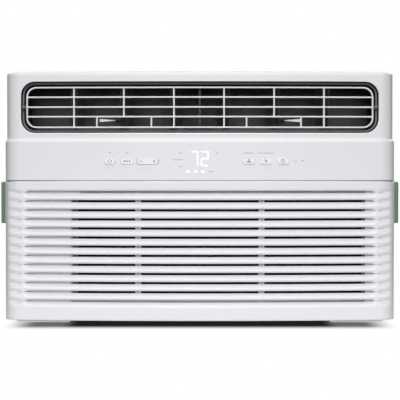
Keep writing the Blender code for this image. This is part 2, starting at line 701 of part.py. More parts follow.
def make_condenser_fan():
    """Five pitched blades in a slinger ring that dips towards the base pan."""
    front, back = 0.088, 0.114
    hub = cylinders("condenser_fan", [(fan_point(front), fan_point(back), 0.026)], "dark_plastic", 32)
    ring = cylinders("slinger_ring", [(fan_point(0.100), fan_point(0.112), 0.110)], None, 48)
    ring_room = cylinders("slinger_room", [(fan_point(0.09), fan_point(0.12), 0.106)], None, 48)
    cut(ring, ring_room)
    for index in range(5):
        turn = Matrix.Rotation(2 * math.pi * index / 5, 4, "Y")
        blade = box("fan_blade", (0.020, 0.1075), (-0.0012, 0.0012), (-0.030, 0.030))
        pitch = Matrix.Rotation(math.radians(15), 4, "X")
        blade.matrix_world = Matrix.Translation(fan_point(0.103)) @ turn @ pitch
        join(hub, blade)
    join(hub, ring)
    cut(hub, cylinders("fan_bore", [(fan_point(0.05), fan_point(0.15), SHAFT_RADIUS + GAP)], None, 20))


def make_scroll():
    """Blower housing: round below, open at the top into the duct and at the back."""
    def outline(half, top):
        points = [(FAN_X + half, top), (FAN_X - half, top)]
        for step in range(17):
            angle = math.pi * (1 + step / 16)
            points.append((FAN_X + half * math.cos(angle), FAN_Z + half * math.sin(angle)))
        return points

    housing = extrusion("blower_scroll", outline(SCROLL_HALF, 0.2338), *SCROLL_Y, "Y", "grey_plastic")
    room = extrusion("scroll_room", outline(SCROLL_HALF - 0.002, 0.25), SCROLL_Y[0] + 0.002,
                     SCROLL_Y[1] + 0.01, "Y")
    inlet = cylinders("scroll_inlet", [(fan_point(-0.13), fan_point(-0.10), 0.066)], None, 40)
    cut(housing, room, inlet)


def make_bulkhead():
    """Sheet between the cool side and the hot side."""
    wall = box("bulkhead", (-0.2280, 0.2280), (BULKHEAD_Y, BULKHEAD_Y + 0.002), (0.0047, 0.3005),
               "galvanised")
    rods = [(fan_point(-0.06), fan_point(-0.02), 0.016),
            ((-0.120, -0.06, 0.212), (-0.120, -0.02, 0.212), 0.0065),
            ((-0.078, -0.06, 0.030), (-0.078, -0.02, 0.030), 0.0050)]
    notch_z = (HANDLE_Z[0] - 0.004, HANDLE_Z[1] + 0.004)
    notches = boxes("handle_notches", [((-0.24, -0.2140), (-0.06, -0.02), notch_z),
                                       ((0.2140, 0.24), (-0.06, -0.02), notch_z)])
    cut(wall, cylinders("bulkhead_holes", rods, None, 24), notches)


def make_shroud():
    """Guides the air of the condenser fan through the rear coil."""
    shroud = box("condenser_shroud", (-0.190, 0.222), (0.096, 0.1490), (0.0050, 0.296), "grey_plastic")
    room = box("shroud_room", (-0.188, 0.220), (0.098, 0.160), (0.0070, 0.294))
    hole = cylinders("shroud_hole", [(fan_point(0.08), fan_point(0.10), 0.114)], None, 48)
    cut(shroud, room, hole)


def make_cord_gland():
    """Rubber collar in the cabinet's left side, where the mains lead would leave."""
    profile = [(0.0050, 0.010), (0.0085, 0.008), (0.0085, 0.0023), (0.0110, 0.0023),
               (0.0110, GAP), (0.0085, GAP), (0.0085, -0.004), (0.0050, -0.004), (0.0050, 0.010)]
    gland = turned("cord_gland", profile, (-CABINET_HALF, GLAND_Y, GLAND_Z), "rubber", 24)
    gland.rotation_euler = (0, -math.pi / 2, 0)


def main():
    make_front_panel()
    make_intake_grille()
    make_filter()
    make_buttons()
    make_controls()
    make_air_duct()
    make_louver()
    for side in (-1, 1):
        for index in range(3):
            make_vane(side, index)
        make_tie_bar(side)
        make_side_handle(side)
    make_cabinet()
    make_base_pan()
    make_rear_grille()
    make_feet()
    make_coils()
    make_compressor()
    make_lines()
    make_motor()
    make_blower()
    make_condenser_fan()
    make_scroll()
    make_bulkhead()
    make_shroud()
    make_cord_gland()


main()
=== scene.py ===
"""Looks of the window air conditioner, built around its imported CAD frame.

X runs to the right seen from the front, the front faces -Y and Z is up. Metres throughout.
"""

import json
import math

import bmesh
import bpy
from mathutils import Matrix, Vector


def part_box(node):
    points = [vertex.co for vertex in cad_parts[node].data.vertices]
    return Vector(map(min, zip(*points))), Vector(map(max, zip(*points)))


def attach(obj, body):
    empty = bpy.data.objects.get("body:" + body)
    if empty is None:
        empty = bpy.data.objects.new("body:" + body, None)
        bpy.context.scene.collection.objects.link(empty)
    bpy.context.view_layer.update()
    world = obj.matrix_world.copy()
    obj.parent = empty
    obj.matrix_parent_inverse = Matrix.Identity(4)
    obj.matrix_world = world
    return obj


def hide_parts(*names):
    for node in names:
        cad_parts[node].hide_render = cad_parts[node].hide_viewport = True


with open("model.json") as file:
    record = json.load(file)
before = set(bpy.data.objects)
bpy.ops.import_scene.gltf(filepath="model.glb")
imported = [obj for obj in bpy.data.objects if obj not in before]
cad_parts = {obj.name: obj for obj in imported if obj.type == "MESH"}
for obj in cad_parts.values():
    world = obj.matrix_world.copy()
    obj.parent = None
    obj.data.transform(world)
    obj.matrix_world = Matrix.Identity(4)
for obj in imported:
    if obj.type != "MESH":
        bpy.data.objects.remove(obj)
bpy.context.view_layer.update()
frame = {"nodes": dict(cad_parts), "record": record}

# ---------------------------------------------------------------- places read from the frame
PANEL_LOW, PANEL_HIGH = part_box("front_panel")
GRILLE_LOW, GRILLE_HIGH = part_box("intake_grille")
LOUVER_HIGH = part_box("louver_frame")[1]
FILTER_LOW, FILTER_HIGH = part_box("filter_frame")
HALF = PANEL_HIGH.x
FRONT_Y = GRILLE_LOW.y
SEAM_Z = GRILLE_HIGH.z + 0.0005
PANEL_BACK = PANEL_HIGH.y
TOP_Z = PANEL_HIGH.z
BUTTON_NODES = ("power_button", "mode_button", "temperature_rocker", "fan_button", "eco_button",
                "timer_button")
BUTTON_MIDDLE = (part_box("fan_button")[0].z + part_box("fan_button")[1].z) / 2

# ---------------------------------------------------------------- sizes the frame doesn't hold
BOW_RADIUS = 1.8                  # of the front's plan
CORNER_RADIUS = 0.0225
BOW_STEPS = 96
BOW_CROWDING = 1.6                # over 1, the steps get shorter towards both ends
CORNER_STEPS = 14
WALL = 0.0025
STEP_IN = 0.0021                  # upper fascia behind the control strip
LEDGE_Z = 0.2267
LEDGE_HEIGHT = 0.0046
TOP_ROUND = 0.0042
SUPPORT = 0.0015                  # a row this close to an edge keeps the tall face beyond it flat
SHELL_INSET = STEP_IN + WALL
FRAME_FRONT = -0.1820             # front of the intake's frame, behind the grille
INTAKE = ((-0.159, 0.209), (0.026, 0.170))     # X and Z of the frame's opening
OUTLET = (0.2222, 0.2354, 0.2993, 0.017)       # half width, low, high, corner radius
LOUVER = (0.2157, 0.2416, 0.2928, 0.0127)
LOUVER_LINE = 0.0019              # how thick its ring and bars look from the front
LOUVER_INSET = (0.004, 0.014)
LOUVER_PIVOT_Y = -0.196
LOUVER_BARS = (0.2799, 0.2676, 0.2557)
POST_X = (0.031, 0.093, 0.155)
SHORT_POST_X = (0.0589, 0.1265)   # these two cross only the lowest cell
POST_SHIFT = -0.0011
VANE_X, VANE_Y = 0.093, -0.172    # pivots of the two middle vanes
VANE_TURN = math.radians(30)      # how far the vanes stand turned at rest
TAB_Z = 0.2509
TAB_REACH = (-0.0440, -0.0405)    # from the vane's pivot, along the vane
SLOT_COUNT = 13
SLOT_TOP_Z = 0.1623
SLOT_PITCH = 0.01127
SLOT_HEIGHT = 0.0031
SLOT_END = 0.218
BUTTON_GAP = 0.00015
ROCKER_ROOM = 0.0003              # more gap at both ends of the rocker, for its swing


# ---------------------------------------------------------------- materials
def surface(name, colour, roughness, metallic=0.0, grain=900.0, bump=0.06, mottle=0.04,
            coat=0.0, scratch=0.0, shine=0.5):
    """A moulded, painted or metal surface: fine grain in its bump, slight colour drift."""
    made = bpy.data.materials.new(name)
    made.use_nodes = True
    nodes, links = made.node_tree.nodes, made.node_tree.links
    shader = nodes["Principled BSDF"]
    shader.inputs["Metallic"].default_value = metallic
    shader.inputs["Coat Weight"].default_value = coat
    shader.inputs["Specular IOR Level"].default_value = shine
    place = nodes.new("ShaderNodeTexCoord")
    fine = nodes.new("ShaderNodeTexNoise")
    fine.inputs["Scale"].default_value = grain
    fine.inputs["Detail"].default_value = 3
    broad = nodes.new("ShaderNodeTexNoise")
    broad.inputs["Scale"].default_value = 17
    broad.inputs["Detail"].default_value = 4
    for noise in (fine, broad):
        links.new(place.outputs["Object"], noise.inputs["Vector"])
    tint = nodes.new("ShaderNodeMix")
    tint.data_type = "RGBA"
    tint.inputs["A"].default_value = (*[part * (1 - mottle) for part in colour], 1)
    tint.inputs["B"].default_value = (*[min(1, part * (1 + mottle)) for part in colour], 1)
    links.new(broad.outputs["Fac"], tint.inputs["Factor"])
    links.new(tint.outputs["Result"], shader.inputs["Base Color"])
    rough = nodes.new("ShaderNodeMapRange")
    rough.inputs["To Min"].default_value = roughness * 0.85
    rough.inputs["To Max"].default_value = min(1, roughness * 1.15)
    links.new(broad.outputs["Fac"], rough.inputs["Value"])
    links.new(rough.outputs["Result"], shader.inputs["Roughness"])
    relief = nodes.new("ShaderNodeBump")
    relief.inputs["Strength"].default_value = bump
    relief.inputs["Distance"].default_value = 0.0004
    links.new(fine.outputs["Fac"], relief.inputs["Height"])
    if scratch:
        lines = nodes.new("ShaderNodeTexWave")
        lines.bands_direction = "Z"
        lines.inputs["Scale"].default_value = scratch
        lines.inputs["Distortion"].default_value = 6
        links.new(place.outputs["Object"], lines.inputs["Vector"])
        second = nodes.new("ShaderNodeBump")
        second.inputs["Strength"].default_value = bump
        second.inputs["Distance"].default_value = 0.0003
        links.new(lines.outputs["Fac"], second.inputs["Height"])
        links.new(relief.outputs["Normal"], second.inputs["Normal"])
        relief = second
    links.new(relief.outputs["Normal"], shader.inputs["Normal"])
    return made


def woven(name, colour, pitch):
    """A net: two crossed sets of threads in colour and bump."""
    made = surface(name, colour, 0.8)
    nodes, links = made.node_tree.nodes, made.node_tree.links
    place = nodes.new("ShaderNodeTexCoord")
    heights = []
    for direction in ("X", "Z"):
        threads = nodes.new("ShaderNodeTexWave")
        threads.bands_direction = direction
        threads.inputs["Scale"].default_value = 1 / (pitch * 20)
        links.new(place.outputs["Object"], threads.inputs["Vector"])
        heights.append(threads)
    both = nodes.new("ShaderNodeMath")
    both.operation = "MAXIMUM"
    for index, threads in enumerate(heights):
        links.new(threads.outputs["Fac"], both.inputs[index])
    relief = nodes.new("ShaderNodeBump")
    relief.inputs["Strength"].default_value = 0.6
    relief.inputs["Distance"].default_value = 0.0005
    links.new(both.outputs["Value"], relief.inputs["Height"])
    links.new(relief.outputs["Normal"], nodes["Principled BSDF"].inputs["Normal"])
    return made


def glowing(name, colour, strength):
    """A surface that gives off light of its own."""
    made = surface(name, colour, 0.5)
    shader = made.node_tree.nodes["Principled BSDF"]
    shader.inputs["Emission Color"].default_value = (*colour, 1)
    shader.inputs["Emission Strength"].default_value = strength
    return made


LOOKS = {
    "white_plastic": surface("white_moulding", (0.82, 0.82, 0.85), 0.34, grain=1400, bump=0.05,
                             mottle=0.006, shine=0.3),
    "dark_plastic": surface("black_moulding", (0.074, 0.074, 0.075), 0.42, bump=0.1, mottle=0.1),
    "green_plastic": surface("green_moulding", (0.125, 0.205, 0.135), 0.55, grain=700, bump=0.25),
    "grey_plastic": surface("grey_moulding", (0.33, 0.34, 0.36), 0.5, bump=0.15),
    "cabinet_paint": surface("powder_coat", (0.62, 0.63, 0.65), 0.45, grain=450, bump=0.22,
                             mottle=0.02),
    "galvanised": surface("zinc_sheet", (0.55, 0.56, 0.58), 0.38, 0.9, grain=60, bump=0.12,
                          mottle=0.15),
    "fin_aluminium": surface("fin_sheet", (0.70, 0.71, 0.73), 0.35, 0.9, bump=0.1, mottle=0.08,
                             scratch=120),
    "copper": surface("copper_pipe", (0.68, 0.33, 0.19), 0.3, 1.0, bump=0.08, mottle=0.18),
    "black_paint": surface("black_enamel", (0.015, 0.015, 0.015), 0.35, grain=350, bump=0.12,
                           coat=0.2),
    "rubber": surface("black_rubber", (0.025, 0.025, 0.025), 0.8, grain=500, bump=0.3),
    "steel": surface("turned_steel", (0.5, 0.5, 0.52), 0.3, 1.0, bump=0.1, scratch=200),
    "filter_net": woven("filter_weave", (0.010, 0.010, 0.011), 0.0011),
    "board_green": surface("solder_mask", (0.03, 0.16, 0.08), 0.35, coat=0.3),
}
# grey in place of black: painted sheen on the outlet's curved black bezel
BEZEL_SHEEN_GREY = surface("painted_sheen_grey", (0.16, 0.16, 0.16), 0.5)
# whiter than the panel: painted highlight on the outlet's lower lip
LIP_HIGHLIGHT_WHITE = surface("painted_highlight_white", (0.96, 0.96, 0.97), 0.25, mottle=0.003)
LABEL_GREY = surface("label_grey", (0.30, 0.30, 0.31), 0.5)
LOUVER_WHITE = surface("louver_moulding", (0.78, 0.78, 0.79), 0.4, mottle=0.006)
BUTTON_WHITE = surface("button_moulding", (0.86, 0.86, 0.88), 0.35, mottle=0.005)
MARKING = surface("grey_marking", (0.10, 0.10, 0.11), 0.5)
GLOW = glowing("display_glow", (1.0, 1.0, 1.0), 0.75)
COIL_BLACK = surface("coated_fins", (0.016, 0.017, 0.018), 0.4, 0.3, scratch=120)


# ---------------------------------------------------------------- mesh helpers
def add_piece(name, mesh, slot, body="root", replaced=(), look=None):
    """Links a finished mesh, gives it its material and ties it to a CAD body."""
    obj = bpy.data.objects.new(name, mesh)
    bpy.context.scene.collection.objects.link(obj)
    mesh.materials.clear()
    mesh.materials.append(look or LOOKS[slot])
    if replaced:
        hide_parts(*replaced)
    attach(obj, body)
    return obj


def new_mesh(name, points, faces, smooth=35):
    """A mesh whose faces point outwards, shaded smooth below that angle in degrees."""
    mesh = bpy.data.meshes.new(name)
    mesh.from_pydata(points, [], faces)
    build = bmesh.new()
    build.from_mesh(mesh)
    bmesh.ops.recalc_face_normals(build, faces=build.faces)
    build.to_mesh(mesh)
    build.free()
    soften(mesh, smooth)
    return mesh


def soften(mesh, angle):
    mesh.shade_smooth()
    mesh.set_sharp_from_angle(angle=math.radians(angle))


def box_mesh(name, spans):
    """Boxes in one mesh, each given as its (low, high) along X, Y and Z."""
    build = bmesh.new()
    for span in spans:
        centre = Vector([(low + high) / 2 for low, high in span])
        size = [high - low for low, high in span]
        matrix = Matrix.Translation(centre) @ Matrix.Diagonal((*size, 1))
        bmesh.ops.create_cube(build, size=1, matrix=matrix)
    mesh = bpy.data.meshes.new(name)
    build.to_mesh(mesh)
    build.free()
    return mesh


def rod_mesh(name, rods, segments=32):
    """Straight rods in one mesh, each given as (start, end, radius)."""
    build = bmesh.new()
    for start, end, radius in rods:
        start, end = Vector(start), Vector(end)
        turn = (end - start).to_track_quat("Z", "Y").to_matrix().to_4x4()
        matrix = Matrix.Translation((start + end) / 2) @ turn
        bmesh.ops.create_cone(build, cap_ends=True, segments=segments, radius1=radius,
                              radius2=radius, depth=(end - start).length, matrix=matrix)
    mesh = bpy.data.meshes.new(name)
    build.to_mesh(mesh)
    build.free()
    return mesh


def prism(name, outline, low, high):
    """A closed (x, z) outline extruded along Y."""
    count = len(outline)
    points = [(x, low, z) for x, z in outline] + [(x, high, z) for x, z in outline]
    faces = [tuple(range(count)), tuple(range(2 * count - 1, count - 1, -1))]
    for index in range(count):
        after = (index + 1) % count
        faces.append((index, after, after + count, index + count))
    return new_mesh(name, points, faces)


def combine(base, steps):
    """The base mesh after a list of (operation, mesh) Booleans, as a new mesh."""
    scene = bpy.context.scene.collection
    target = bpy.data.objects.new("combine_target", base)
    scene.objects.link(target)
    helpers = [target]
    for operation, mesh in steps:
        helper = bpy.data.objects.new("combine_helper", mesh)
        scene.objects.link(helper)
        helpers.append(helper)
        modifier = target.modifiers.new("combine", "BOOLEAN")
        modifier.operation = operation
        modifier.object = helper
    bpy.context.view_layer.update()
    graph = bpy.context.evaluated_depsgraph_get()
    mesh = bpy.data.meshes.new_from_object(target.evaluated_get(graph))
    for helper in helpers:
        bpy.data.objects.remove(helper, do_unlink=True)
    soften(mesh, 30)
    return mesh


def round_edges(obj, width, segments=3, angle=35):
    modifier = obj.modifiers.new("edges", "BEVEL")
    modifier.width = width
    modifier.segments = segments
    modifier.limit_method = "ANGLE"
    modifier.angle_limit = math.radians(angle)
    modifier.harden_normals = True


# ---------------------------------------------------------------- outlines
def smooth_step(value, low, high):
    """0 up to low, 1 from high on, and a smooth rise between."""
    share = min(1, max(0, (value - low) / (high - low)))
    return share * share * (3 - 2 * share)


def bow_y(x, inset=0.0):
    """Depth of the bowed front at x, and so far behind it."""
    return FRONT_Y + inset + BOW_RADIUS - math.sqrt(BOW_RADIUS ** 2 - x ** 2)


def plan_columns(back):
    """Points along the front's plan from left to right as (place, inward normal)."""
    start = HALF - CORNER_RADIUS
    lean = math.asin(start / BOW_RADIUS)
    corner = Vector((start, bow_y(start) + CORNER_RADIUS))
    right = []
    for step in range(BOW_STEPS // 2 + 1):
        angle = lean * (1 - (1 - 2 * step / BOW_STEPS) ** BOW_CROWDING)
        normal = Vector((-math.sin(angle), math.cos(angle)))
        right.append((Vector((0, FRONT_Y + BOW_RADIUS)) - normal * BOW_RADIUS, normal))
    last = math.acos(max(0, corner.y - back) / CORNER_RADIUS)
    for step in range(1, CORNER_STEPS + 1):
        angle = lean + (last - lean) * step / CORNER_STEPS
        normal = Vector((-math.sin(angle), math.cos(angle)))
        right.append((corner - normal * CORNER_RADIUS, normal))
    for share in (0.5, 1.0):
        place, normal = right[BOW_STEPS // 2 + CORNER_STEPS]
        right.append((Vector((place.x, place.y + (back - place.y) * share)), normal))
    left = [(Vector((-place.x, place.y)), Vector((-normal.x, normal.y)))
            for place, normal in reversed(right[1:])]
    return left + right


def loft(name, levels, back):
    """A solid with the front's plan: one ring of points for each (height, inset)."""
    columns = plan_columns(back)
    count = len(columns)
    points = []
    for height, inset in levels:
        for place, normal in columns:
            spot = place + normal * inset
            points.append((spot.x, spot.y, height))
    faces = [tuple(range(count)), tuple(range(len(points) - 1, len(points) - count - 1, -1))]
    for level in range(len(levels) - 1):
        for index in range(count):
            after = (index + 1) % count
            low, high = level * count, (level + 1) * count
            faces.append((low + index, low + after, high + after, high + index))
    return new_mesh(name, points, faces)


def corner_centres(half, low, high, radius):
    """(x, z, first angle) of a rounded rectangle's four corner arcs."""
    return ((half - radius, high - radius, 0), (radius - half, high - radius, 90),
            (radius - half, low + radius, 180), (half - radius, low + radius, 270))


def rounded_rectangle(half, low, high, radius, steps=10, centre=0.0):
    points = []
    for x, z, first in corner_centres(half, low, high, radius):
        for step in range(steps + 1):
            angle = math.radians(first + 90 * step / steps)
            points.append((centre + x + radius * math.cos(angle), z + radius * math.sin(angle)))
    return points


def pill(low, high, extra):
    """Outline of a round-ended button that fills a node's box."""
    radius = (high.z - low.z) / 2 + extra
    half = (high.x - low.x) / 2 + extra
    return rounded_rectangle(half, low.z - extra, high.z + extra, radius - 0.00002, 10,
                             (low.x + high.x) / 2)


# ---------------------------------------------------------------- front panel
def make_front_panel():
    """The white moulding: control strip, ledge, upper fascia, and the frame round the intake."""
    edge = 0.0006
    levels = [(SEAM_Z, edge), (SEAM_Z + edge * 0.3, edge * 0.3), (SEAM_Z + edge, 0),
              (SEAM_Z + edge + SUPPORT, 0), (LEDGE_Z - LEDGE_HEIGHT / 2 - SUPPORT, 0)]
    for step in range(9):
        share = step / 8
        levels.append((LEDGE_Z + LEDGE_HEIGHT * (share - 0.5), STEP_IN * smooth_step(share, 0, 1)))
    levels += [(LEDGE_Z + LEDGE_HEIGHT / 2 + SUPPORT, STEP_IN),
               (TOP_Z - TOP_ROUND - SUPPORT, STEP_IN)]
    for step in range(7):
        angle = math.pi / 2 * step / 6
        levels.append((TOP_Z - TOP_ROUND * (1 - math.sin(angle)),
                       STEP_IN + TOP_ROUND * (1 - math.cos(angle))))
    shell = loft("front_panel_shell", levels, PANEL_BACK)
    inner = HALF - WALL
    behind = FRAME_FRONT + WALL
    frame_block = box_mesh("frame_block", [((-HALF, HALF), (FRAME_FRONT, PANEL_BACK),
                                            (PANEL_LOW.z, SEAM_Z + 0.002))])
    hollow = loft("hollow", [(SEAM_Z + WALL, SHELL_INSET), (TOP_Z - WALL, SHELL_INSET)],
                  PANEL_BACK + 0.01)
    rear_hollow = box_mesh("rear_hollow", [((-inner, inner), (behind, PANEL_BACK + 0.01),
                                            (PANEL_LOW.z + WALL, SEAM_Z + WALL + 0.003))])
    intake = box_mesh("intake", [(INTAKE[0], (FRAME_FRONT - 0.005, behind + 0.002), INTAKE[1])])
    slot = box_mesh("slot", [((HALF - 0.006, HALF + 0.004),
                              (FILTER_LOW.y - 0.0006, FILTER_HIGH.y + 0.0006),
                              (FILTER_LOW.z - 0.0008, FILTER_HIGH.z + 0.0008))])
    outlet = prism("outlet", rounded_rectangle(*OUTLET, steps=16), FRONT_Y - 0.01, FRONT_Y + 0.03)
    steps = [("UNION", frame_block)]
    for cutter in (hollow, rear_hollow, intake, slot, outlet):
        steps.append(("DIFFERENCE", cutter))
    for node in BUTTON_NODES:
        low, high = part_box(node)
        room = Vector((ROCKER_ROOM if node == "temperature_rocker" else 0, 0, 0))
        outline = pill(low - room, high + room, BUTTON_GAP)
        hole = prism(node + "_hole", outline, FRONT_Y - 0.005, FRONT_Y + 0.012)
        steps.append(("DIFFERENCE", hole))
    panel = add_piece("front_panel_shell", combine(shell, steps), "white_plastic",
                      replaced=["front_panel"])
    round_edges(panel, 0.0013, 4, 50)


# ---------------------------------------------------------------- intake grille
SLAT_ROWS = (0.0, 0.08, 0.18, 0.30, 0.42, 0.54, 0.64, 0.72, 0.80, 0.88, 0.94)
FOOT_ROWS = SLAT_ROWS[7:]         # the part of a slat that shows above the first gap
CREST = 0.70                      # how far down a slat its skin comes furthest forwards
SLAT_TOP_DEPTH = 0.0041
SLAT_FOOT_DEPTH = 0.0013
SLAT_FADE = (0.2140, 0.2205)      # |X| between which the slats run out into the skin
SCALLOP_X = 0.2292                # middle of the scallops at both ends, and half their width
SCALLOP_HALF = 0.0085
LIP_DEPTH = 0.0035
GRILLE_HINGE_Y = -0.212
GRILLE_HINGE_Z = 0.006
GRILLE_SHEET = 0.0014
MULLION_X = 0.0765
MULLION_EDGE = 0.0027
BACKING_NEAR = 0.0062
BACKING_DEEP = 0.0105
BACKING_SHEET = 0.0012
BACKING_REACH = 0.0045            # past the middle of the gap that it closes


def slat_depth(share):
    """How far a slat stands behind the grille's skin, from its top edge (0) to its foot (1)."""
    if share < CREST:
        return SLAT_TOP_DEPTH * (1 - share / CREST) ** 1.35
    return SLAT_FOOT_DEPTH * ((share - CREST) / (1 - CREST)) ** 2.2


def slat_share(x):
    """How much of its depth a slat has: all along the slot, none past its end, then a scallop."""
    scallop = 0.9 * max(0, 1 - ((abs(x) - SCALLOP_X) / SCALLOP_HALF) ** 2)
    return max(1 - smooth_step(abs(x), *SLAT_FADE), scallop)


def gap_half(x):
    """Half the height of a gap, which narrows to a fine groove past the slot's end."""
    open_share = min(1, max(0, (SLOT_END - abs(x)) / 0.008))
    return SLOT_HEIGHT / 2 * max(open_share, 0.15 + 0.25 * smooth_step(abs(x), 0.222, 0.230))


def lip(x):
    """How far the slat's lips are turned in along the slot."""
    return LIP_DEPTH * (1 - smooth_step(abs(x), SLOT_END - 0.005, SLOT_END + 0.001))


def grille_top(place):
    """Height of the grille's top edge, which follows an arc round its hinge."""
    reach = GRILLE_HIGH.z - GRILLE_HINGE_Z
    return GRILLE_HINGE_Z + math.sqrt(reach ** 2 - max(0, place.y - GRILLE_HINGE_Y) ** 2)


def grille_rows():
    """Rows of the skin from the top down, each (height at a place, depth at x, open below)."""
    rows = []
    for drop, depth in ((0, 0.008), (0, 0.0008), (0.0002, 0.0002), (0.0008, 0), (0.0022, 0)):
        rows.append((lambda place, drop=drop: grille_top(place) - drop,
                     lambda x, depth=depth: depth, False))
    rows.append((lambda place: SLOT_TOP_Z + SLOT_PITCH * 0.36, lambda x: 0, False))
    for share in FOOT_ROWS:
        level = SLOT_TOP_Z + SLOT_HEIGHT / 2 + (1 - share) * (SLOT_PITCH - SLOT_HEIGHT)
        rows.append((lambda place, level=level: level,
                     lambda x, share=share: slat_depth(share) * slat_share(x), False))
    for gap in range(SLOT_COUNT):
        middle = SLOT_TOP_Z - gap * SLOT_PITCH

        def upper(place, middle=middle):
            return middle + gap_half(place.x)

        def lower(place, middle=middle):
            return middle - gap_half(place.x)

        rows.append((upper, lambda x: SLAT_FOOT_DEPTH * slat_share(x), False))
        rows.append((upper, lambda x: SLAT_FOOT_DEPTH * slat_share(x) + lip(x) * 0.6, True))
        rows.append((lower, lambda x: SLAT_TOP_DEPTH * slat_share(x) + lip(x), False))
        for share in SLAT_ROWS:
            def height(place, share=share, low=middle - SLOT_PITCH + SLOT_HEIGHT / 2, lower=lower):
                return lower(place) + (low - lower(place)) * share
            # Below the last gap the skin runs on plain from the crest.
            deep = min(share, CREST) if gap == SLOT_COUNT - 1 else share
            rows.append((height, lambda x, deep=deep: slat_depth(deep) * slat_share(x), False))
    for rise, depth in ((0.0026, 0), (0.0010, 0), (0.0003, 0.0003), (0, 0.0010), (0, 0.008)):
        rows.append((lambda place, rise=rise: GRILLE_LOW.z + rise, lambda x, depth=depth: depth,
                     False))
    return rows


def make_intake_grille():
    """The slatted skin, thickened, with its backing and mullions."""
    columns = plan_columns(GRILLE_HIGH.y)
    rows = grille_rows()
    count = len(columns)
    points, faces = [], []
    for height, depth, open_below in rows:
        for place, normal in columns:
            spot = place + normal * depth(place.x)
            points.append((spot.x, spot.y, height(place)))
    for level, (height, depth, open_below) in enumerate(rows[:-1]):
        for index in range(count - 1):
            x = (columns[index][0].x + columns[index + 1][0].x) / 2
            if open_below and abs(x) < SLOT_END - 0.001:
                continue
            start = level * count + index
            faces.append((start, start + 1, start + count + 1, start + count))
    mesh = bpy.data.meshes.new("grille_shell")
    mesh.from_pydata(points, [], faces)
    soften(mesh, 40)
    grille = add_piece("intake_grille_shell", mesh, "white_plastic", "intake_grille",
                       ["intake_grille"])
    thick = grille.modifiers.new("thickness", "SOLIDIFY")
    thick.thickness = GRILLE_SHEET
    thick.offset = 1
    thick.use_even_offset = True
    make_grille_backing()
    make_mullions()


def make_grille_backing():
    """Plain walls close behind the slats: at both ends, and behind the first and last gap."""
    low, high = 0.0210, 0.1700
    under_first = SLOT_TOP_Z - BACKING_REACH
    over_last = SLOT_TOP_Z - (SLOT_COUNT - 1) * SLOT_PITCH + BACKING_REACH
    panels = [(-0.2220, -0.1596, low, high, BACKING_NEAR), (0.2055, 0.2220, low, high, BACKING_NEAR),
              (-0.1600, -0.1480, under_first, high, BACKING_NEAR),
              (-0.1482, 0.2092, under_first, high, BACKING_DEEP),
              (-0.1600, 0.2092, low, over_last, BACKING_DEEP)]
    steps = 24
    parts = []
    for left, right, bottom, top, depth in panels:
        points, faces = [], []
        for step in range(steps + 1):
            x = left + (right - left) * step / steps
            for inset in (depth, depth + BACKING_SHEET):
                for z in (bottom, top):
                    points.append((x, bow_y(x, inset), z))
        for step in range(steps):
            here, there = step * 4, step * 4 + 4
            for first, second in ((0, 1), (1, 3), (3, 2), (2, 0)):
                faces.append((here + first, here + second, there + second, there + first))
        faces += [(0, 1, 3, 2), tuple(steps * 4 + corner for corner in (0, 1, 3, 2))]
        parts.append((points, faces))
    points, faces = gather(parts)
    add_piece("grille_backing", new_mesh("grille_backing", points, faces), "white_plastic",
              "intake_grille")


def make_mullions():
    """Two uprights behind the slats, each a flat web between two thin edges that stand forwards."""
    ribs = []
    for middle in (-MULLION_X, MULLION_X):
        for x, half, inset in ((middle - MULLION_EDGE, 0.0008, 0.0060), (middle, 0.0024, 0.0092),
                               (middle + MULLION_EDGE, 0.0008, 0.0060)):
            front = bow_y(x, inset)
            ribs.append(((x - half, x + half), (front, front + 0.008), (0.019, 0.170)))
    rib = add_piece("grille_ribs", box_mesh("grille_ribs", ribs), "white_plastic", "intake_grille")
    round_edges(rib, 0.0003, 2)


# ---------------------------------------------------------------- louvre
def sweep(path, closed, half, depths, corner=0.0006):
    """A thin bar swept along (x, z, normal x, normal z), its depth following the bow."""
    near, far = depths
    section = []
    for across, along, first in ((half - corner, far - corner, 0), (corner - half, far - corner, 90),
                                 (corner - half, near + corner, 180), (half - corner, near + corner, 270)):
        for step in range(4):
            angle = math.radians(first + 30 * step)
            section.append((across + corner * math.cos(angle), along + corner * math.sin(angle)))
    count = len(section)
    points, faces = [], []
    for x, z, nx, nz in path:
        for across, along in section:
            at = x + nx * across
            points.append((at, bow_y(at, along), z + nz * across))
    last = len(path) if closed else len(path) - 1
    for ring in range(last):
        low, high = ring * count, (ring + 1) % len(path) * count
        for index in range(count):
            after = (index + 1) % count
            faces.append((low + index, low + after, high + after, high + index))
    if not closed:
        faces.append(tuple(range(count)))
        faces.append(tuple(range(len(points) - 1, len(points) - count - 1, -1)))
    return points, faces


def ring_path(half, low, high, radius):
    """Points of a rounded rectangle with outward normals, its long sides divided for the bow."""
    path = []
    for index, (x, z, first) in enumerate(corner_centres(half, low, high, radius)):
        for step in range(9):
            angle = math.radians(first + 90 * step / 8)
            path.append((x + radius * math.cos(angle), z + radius * math.sin(angle),
                         math.cos(angle), math.sin(angle)))
        if index in (0, 2):
            side = 1 if index == 0 else -1
            for step in range(1, 48):
                share = step / 48
                path.append(((half - radius) * (1 - 2 * share) * side, z + radius * side, 0, side))
    return path


def gather(parts):
    """Several (points, faces) as one."""
    points, faces = [], []
    for more_points, more_faces in parts:
        start = len(points)
        points += more_points
        faces += [tuple(index + start for index in face) for face in more_faces]
    return points, faces


